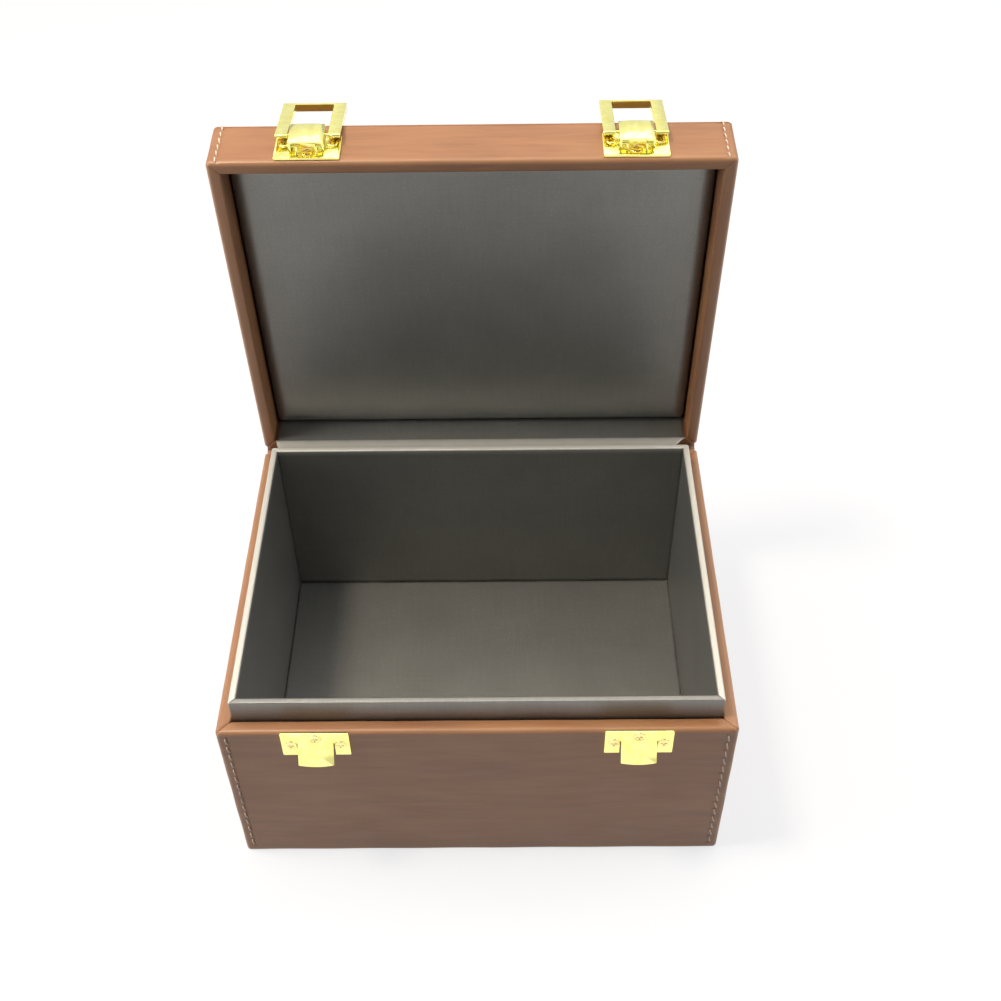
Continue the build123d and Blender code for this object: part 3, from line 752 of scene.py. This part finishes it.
floorX = linerHalfX - linerShape["wall"] - 0.1
floorY = linerHalfY - linerShape["wall"] - 0.1
floorTop = linerShape["floorTop"]
floorPath = roundedPath([(0, floorTop - 0.3), (0, floorTop), (4, floorTop)], (0.28,), 0.6)
floorPoints = plate(floorX, floorY, 0.6, floorPath, middleY=linerMiddle)
floorCloth = floorPoints[..., :2] + np.array([800, 0])
linerFloor = gridMesh("linerFabric_floor", floorPoints, floorCloth, fabric, closed=True, cap=True)
finishSheet(linerFloor, "box", "liner_fabric_floor",
            thickness=linerShape["thickness"])

panelShape = {
    "cavity": 8.2,      # rim to the panel's face
    "board": 3.0,
    "gap": 0.2,
    "soften": 5.4,      # how far in its face begins to fall away
    "drop": 3.4,        # and how far it falls at its border
    "corner": 1.8,
    "reach": 9.0,       # where the shaped border ends
    "thickness": 0.25,
    "cover": 0.8,       # the leather over the lid's top board
    "topBoard": 3.2,
}
panelX = halfWidth - box["lidWall"] - panelShape["gap"]
panelY = halfDepth - box["lidWall"] - panelShape["gap"]
panelFace = lidRim + panelShape["cavity"]
panelBack = lidTop - panelShape["cover"] - panelShape["topBoard"]
boardFace = panelBack - panelShape["board"]


def softBorder(face, back, soften, drop):
    # the padded border: a straight side up from the back, then a quarter of an ellipse to the face
    angle = np.linspace(0, math.pi / 2, 12)
    bend = np.stack([soften * (1 - np.cos(angle)), face + drop * (1 - np.sin(angle))], axis=1)
    side = np.stack([np.zeros(4), np.linspace(back, face + drop, 5)[:4]], axis=1)
    flat = np.array([(x, face) for x in np.linspace(soften, panelShape["reach"], 4)[1:]])
    return np.concatenate([side, bend, flat])


# panel: fabric drawn over foam and a board, softly rounded at the border
panelPath = softBorder(panelFace, panelBack - 0.03, panelShape["soften"], panelShape["drop"])
panelPoints = plate(panelX, panelY, panelShape["corner"], panelPath, step=4.0, wave=0.12)
panelCloth = panelPoints[..., :2] + np.array([1400, 0])
panel = gridMesh("lidPanelFabric", openLid(panelPoints), panelCloth, fabric, closed=True, cap=True,
                 flip=True)
finishSheet(panel, "lid",
            "lid_panel_fabric", thickness=panelShape["thickness"])

# foam between the fabric and the board, with the same soft border a little inside it
foamBack = boardFace - 0.02
foamBorder = softBorder(panelFace + 0.3, foamBack, panelShape["soften"] - 0.3, panelShape["drop"] - 0.1)
foamPath = np.concatenate([[(6, foamBack)], foamBorder])
foamFace = plate(panelX - 0.32, panelY - 0.32, panelShape["corner"] - 0.3, foamPath, step=8.0, wave=0.1)
foamPiece = gridMesh("lidFoam", openLid(foamFace), foamFace[..., :2], foam, closed=True, cap=True,
                     flip=True)
closing = bmesh.new()
closing.from_mesh(foamPiece.data)
openEdges = [edge for edge in closing.edges if edge.is_boundary]
bmesh.ops.contextual_create(closing, geom=openEdges)
bmesh.ops.recalc_face_normals(closing, faces=closing.faces)
closing.to_mesh(foamPiece.data)
closing.free()
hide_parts("lid_padding")
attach(foamPiece, "lid")
print("fabric made")

# hinge strips: they cross the hinge line. "body" and "lid" are places in Y and Z, the lid's as it lies
# shut; "ends" are half widths, left and right at the body and then at the lid.
glued = halfDepth + 0.58
linerOutside = linerBack + 0.03
lidInside = halfDepth - box["lidWall"] - 0.27
spanStart = linerTop - 0.7
hingeStrips = {
    "hingeLeather": {
        "node": "hinge_leather",
        "slot": "leather",
        "material": leather,
        "thickness": 0.5,
        "body": [(glued, bodyRim - 12.0), (glued, bodyRim - 1.3), (halfDepth + 1.35, bodyRim - 0.95)],
        "lid": [(glued, lidRim + 1.6), (glued, lidRim + 10.0)],
        "ends": (79.2, 79.2, 79.2, 79.2),
        "radii": (0.35, 0.35, 0.35),
        "ripple": 0.04,
        "wornAndHighlight": 0.0,
        "clothStart": 2100,
        "flip": True,
        "bend": ((0, (halfDepth + 0.2) * mm, (bodyRim - 1.2) * mm),
                 (0, (halfDepth + 2.0) * mm, (bodyRim + 0.2) * mm)),
        "rests": ["body_board_back", "lid_board_back"],
    },
    "hingeFabric": {
        "node": "hinge_fabric",
        "slot": "conductive_fabric",
        "material": fabric,
        "thickness": 0.22,
        "body": [(linerOutside, spanStart - 8.0), (linerOutside, spanStart)],
        "lid": [(lidInside, lidRim), (lidInside, lidRim + 10.8)],
        "ends": (73.2, 70.6, 75.2, 75.2),       # its corner by the liner is cut off aslant
        "radii": (0.45, 1.2),
        "ripple": 0.16,
        # how much of its span is painted paler as a highlight
        "wornAndHighlight": 0.85,
        "clothStart": 1800,
        "flip": False,
        "bend": ((0, (linerBack + 0.5) * mm, 0.0755), (0, 0.0627, 0.0755)),
        "rests": ["liner_board_back", "lid_board_back"],
    },
}


def bentStrip(name, strip):
    # a path in Y and Z, rounded at its corners, carried along X between ends that may slant
    lid = openLid(np.array([(0, y, z) for y, z in strip["lid"]], float))[:, 1:]
    corners = np.concatenate([np.array(strip["body"], float), lid])
    path = roundedPath(corners, strip["radii"], 0.7)
    along = distanceAlong(path)
    turn = along[np.argmin(np.linalg.norm(path - corners[len(strip["body"]) - 1], axis=1))]
    landing = along[np.argmin(np.linalg.norm(path - lid[-2], axis=1))]
    spanned = np.clip((along - turn) / max(landing - turn, 0.1), 0, 1)[:, None]
    ends = strip["ends"]
    left = -(ends[0] + (ends[2] - ends[0]) * spanned)
    right = ends[1] + (ends[3] - ends[1]) * spanned
    x = left + (right - left) * np.linspace(0, 1, 110)[None, :]
    # ripples run across the span and die out where the strip is glued down
    loose = np.sin(math.pi * spanned) ** 0.7 + 0.12
    long = np.sin(x * 0.43 + 1.2 * np.sin(x * 0.11))
    short = np.sin(x * 1.05 + along[:, None] * 0.5)
    wave = strip["ripple"] * loose * (long * 0.6 + short * 0.4)
    normal = pathNormals(path)
    points = np.stack([x, path[:, 0][:, None] + normal[:, 0][:, None] * wave,
                       path[:, 1][:, None] + normal[:, 1][:, None] * wave], axis=-1)
    uv = np.stack([x + strip["clothStart"], np.repeat(along[:, None], x.shape[1], axis=1)], axis=-1)
    # painted highlight: across its span the strip is drawn paler and less metallic, for the light it
    # catches from above
    wearAndHighlight = strip["wornAndHighlight"] * np.clip(4 * spanned * (1 - spanned), 0, 1) ** 0.25 * np.ones_like(x)
    piece = gridMesh(name, points, uv, strip["material"], flip=strip["flip"], wearAndHighlight=wearAndHighlight)
    thicken(piece, strip["thickness"])
    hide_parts(strip["node"])
    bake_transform(piece)


for name, strip in hingeStrips.items():
    bentStrip(name, strip)
print("hinge strips made")


def stitching(name, node, body, toRest):
    # each stitch is a tube along a low arch that dives into its needle holes at both ends; both rows
    # have the same heights
    rows, row = stitchRows, stitchRows[body]
    count = row["count"]
    t = np.linspace(-1, 1, 13)
    around = np.linspace(0, 2 * math.pi, 9)[:-1]
    radius = rows["radius"] * (1 - rows["taper"] * np.abs(t) ** 4)
    rise = rows["rise"] - rows["dive"] * np.abs(t) ** 5
    seeds = np.random.default_rng(7)
    heights = np.tile(row["first"] + np.arange(count) * row["pitch"], 2)
    offsets = np.repeat([rows["inset"] - halfWidth, halfWidth - rows["inset"]], count)
    lean = seeds.normal(rows["lean"], rows["leanSpread"], len(heights))
    size = seeds.normal(1, rows["sizeSpread"], len(heights))
    along = t[None, :, None] * row["length"] / 2 * size[:, None, None]
    ring = radius[None, :, None]
    x = offsets[:, None, None] + ring * np.cos(around) + along * lean[:, None, None]
    z = heights[:, None, None] + along + 0 * around
    y = -halfDepth - rise[None, :, None] - ring * rows["flatness"] * np.sin(around)
    points = np.stack(np.broadcast_arrays(x, y, z), axis=-1)
    stitches, steps, sides = points.shape[:3]
    index = np.arange(stitches * steps * sides).reshape(stitches, steps, sides)
    after = np.roll(index, -1, axis=2)
    quads = np.stack([index[:, :-1], after[:, :-1], after[:, 1:], index[:, 1:]], axis=-1).reshape(-1, 4)
    ends = np.concatenate([index[:, 0, ::-1], index[:, -1]])
    mesh = bpy.data.meshes.new(name)
    mesh.from_pydata((toRest(points.reshape(-1, 3)) * mm).tolist(), [], quads.tolist() + ends.tolist())
    turned = around / (2 * math.pi) * rows["plies"]
    writeCloth(mesh, np.stack(np.broadcast_arrays(turned + 0 * z, z), axis=-1))
    shell = bmesh.new()
    shell.from_mesh(mesh)
    bmesh.ops.recalc_face_normals(shell, faces=shell.faces)
    shell.to_mesh(mesh)
    shell.free()
    piece = placed(name, mesh, thread)
    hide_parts(node)
    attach(piece, body)


stitching("bodyStitching", "body_stitching", "box", lambda points: points)
stitching("lidStitching", "lid_stitching", "lid", openLid)
print("stitching made")

# metal parts: each keeps its CAD shape and gets its edges broken, as tumbling does
metalPieces = {
    "latch_base": {"rides": "lid", "edge": 0.14, "material": gilt, "slot": "gilt_steel"},
    "latch_lever": {"rides": "{hand}_lever", "edge": 0.16, "material": gilt, "slot": "gilt_steel"},
    "bail": {"rides": "{hand}_bail", "edge": 0.16, "material": gilt, "slot": "gilt_steel"},
    "catch": {"rides": "box", "edge": 0.14, "material": gilt, "slot": "gilt_steel"},
    "latch_screws": {"rides": "lid", "edge": 0.06, "material": giltScrew, "slot": "screw_steel"},
    "catch_screws": {"rides": "box", "edge": 0.06, "material": catchScrew, "slot": "screw_steel"},
}


def brokenEdges(hand, part, look):
    node = f"{hand}_{part}"
    mesh = nodes[node].data.copy()
    shape = bmesh.new()
    shape.from_mesh(mesh)
    bmesh.ops.remove_doubles(shape, verts=shape.verts, dist=2e-6)
    bmesh.ops.dissolve_limit(shape, angle_limit=math.radians(0.6), verts=shape.verts, edges=shape.edges)
    bmesh.ops.recalc_face_normals(shape, faces=shape.faces)
    shape.to_mesh(mesh)
    shape.free()
    mesh.materials.clear()
    piece = placed(hand + part.title().replace("_", ""), mesh, look["material"])
    bevel = piece.modifiers.new("brokenEdges", "BEVEL")
    bevel.width = look["edge"] * mm
    bevel.segments = 2
    bevel.limit_method = "ANGLE"
    bevel.angle_limit = math.radians(32)
    bevel.harden_normals = True
    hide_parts(node)
    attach(piece, look["rides"].format(hand=hand))


for hand in ("left", "right"):
    for part, look in metalPieces.items():
        brokenEdges(hand, part, look)

for name, node in nodes.items():
    if name.endswith("_pins"):
        hidden = gilt
    elif "_board" in name:
        hidden = linedCard if name.startswith("liner_board") else greyBoard
    else:
        continue
    node.data.materials.clear()
    node.data.materials.append(hidden)
print("metal parts and boards finished")

# "turn" is the camera's turn in degrees about X, Y and Z, from looking straight down
cameraView = {
    "lens": 47.627,
    "place": (10.436, -295.065, 404.774),
    "turn": (44.57968, 0.59633, -0.06312),
}
cameraData = bpy.data.cameras.new("camera")
cameraData.lens = cameraView["lens"]
cameraData.sensor_width = 36
cameraData.clip_start = 0.01
camera = bpy.data.objects.new("camera", cameraData)
bpy.context.scene.collection.objects.link(camera)
camera.location = [value * mm for value in cameraView["place"]]
camera.rotation_euler = [math.radians(value) for value in cameraView["turn"]]
bpy.context.scene.camera = camera

# a small lamp high on the left draws the shadows; a wide ceiling fills the tops, two at the sides the
# walls, and a small near one the catches and the front
lights = {
    "key": {"size": (0.2, 0.2), "energy": 7.5, "place": (-0.42, -0.06, 1.25), "aim": (0, 0, 0.07),
            "colour": "#FFF2DF"},
    "ceiling": {"size": (2.6, 0.9), "energy": 14.0, "place": (-0.1, 0.5, 1.35), "aim": (0, 0.3, 0.05),
                "colour": "#FFF2DF"},
    "left": {"size": (0.8, 0.8), "energy": 0.7, "place": (-1.0, 0.05, 0.8), "aim": (0, 0.0, 0.08),
             "colour": "#F4F8FF"},
    "right": {"size": (0.8, 0.8), "energy": 6.5, "place": (1.0, 0.06, 0.82), "aim": (0, 0.0, 0.08),
              "colour": "#F4F8FF"},
    "near": {"size": (0.25, 0.25), "energy": 0.9, "place": (-0.42, -0.045, 0.34),
             "aim": (-0.06, 0.06, 0.14), "colour": "#F4F8FF"},
}
for name, values in lights.items():
    lampData = bpy.data.lights.new(name, "AREA")
    lampData.shape = "RECTANGLE"
    lampData.size, lampData.size_y = values["size"]
    lampData.energy = values["energy"]
    lampData.color = linear(values["colour"])[:3]
    lamp = bpy.data.objects.new(name, lampData)
    bpy.context.scene.collection.objects.link(lamp)
    place = np.array(values["place"])
    towards = np.array(values["aim"]) - place
    lamp.location = place
    lamp.rotation_mode = "QUATERNION"
    lamp.rotation_quaternion = Vector(towards).to_track_quat("-Z", "Y")

# the room as metal mirrors it: bright overhead, a little dimmer lower down, and dark on the viewer's side
# except for a bright strip along the horizon; as light it only fills the shadows
worldLook = {
    "fill": 0.155,
    "fillColour": "#E0E9FF",
    "fillBehind": 0.3,
    "ceiling": 1.15,
    "horizon": 0.7,
    "viewerSide": 0.14,
    "climb": (-0.1, 0.8),       # between which heights of a direction the room brightens
    "turning": (-0.9, 0.2),     # and between which of its Y the viewer's side ends
    "strip": (0.12, 0.45),      # and where the bright strip fades out upwards
}
world = bpy.data.worlds.new("studio")
bpy.context.scene.world = world
world.use_nodes = True
tree = world.node_tree
tree.nodes.clear()

rays = addNode(tree, "LightPath")
direction = addNode(tree, "SeparateXYZ", {"Vector": addNode(tree, "TexCoord").outputs["Generated"]})
height = fade(tree, direction.outputs[2], worldLook["climb"], worldLook["horizon"], worldLook["ceiling"])
front = fade(tree, direction.outputs[1], worldLook["turning"], worldLook["viewerSide"], 1.0)
strip = fade(tree, direction.outputs[2], worldLook["strip"], 1.0, 0.0)
fill = shine(tree, scaled(tree, maths(tree, "ADD", front, worldLook["fillBehind"]), worldLook["fill"]),
             worldLook["fillColour"])
mirrored = shine(tree, maths(tree, "MULTIPLY", height, maths(tree, "MAXIMUM", front, strip)))
seen = addNode(tree, "MixShader", {0: rays.outputs["Is Glossy Ray"], 1: fill, 2: mirrored})
plain = maths(tree, "MAXIMUM", rays.outputs["Is Camera Ray"], rays.outputs["Is Transmission Ray"])
seen = addNode(tree, "MixShader", {0: plain, 1: seen.outputs[0], 2: shine(tree, 1.0)})
addNode(tree, "OutputWorld", {"Surface": seen.outputs[0]})

# a mid-grey floor takes the object's shadow; to the camera and in reflections it looks white
floorLook = {"paint": "#8D8E91", "glow": 0.7, "mirrored": 0.84}
floorMaterial, tree, surface = newMaterial("paintedStudioFloor")
surface.inputs["Base Color"].default_value = linear(floorLook["paint"])
surface.inputs["Roughness"].default_value = 0.85
surface.inputs["Emission Color"].default_value = (1, 1, 1, 1)
rays = addNode(tree, "LightPath")
looked = maths(tree, "MAXIMUM", rays.outputs["Is Camera Ray"], rays.outputs["Is Transmission Ray"])
glow = maths(tree, "MAXIMUM", scaled(tree, looked, floorLook["glow"]),
             scaled(tree, rays.outputs["Is Glossy Ray"], floorLook["mirrored"]))
tree.links.new(glow, surface.inputs["Emission Strength"])
relief(tree, surface, noise(tree, objectPlace(tree), 0.9, detail=2), 0.1, 0.0001)
span = np.linspace(-3000, 3000, 5)
flatX, flatY = np.meshgrid(span, span)
flatPoints = np.stack([flatX, flatY, np.full_like(flatX, -0.05)], axis=-1)
floor = gridMesh("floor", flatPoints, flatPoints[..., :2], floorMaterial)
bpy.context.scene.view_settings.view_transform = "Standard"
print("camera, light and floor made")
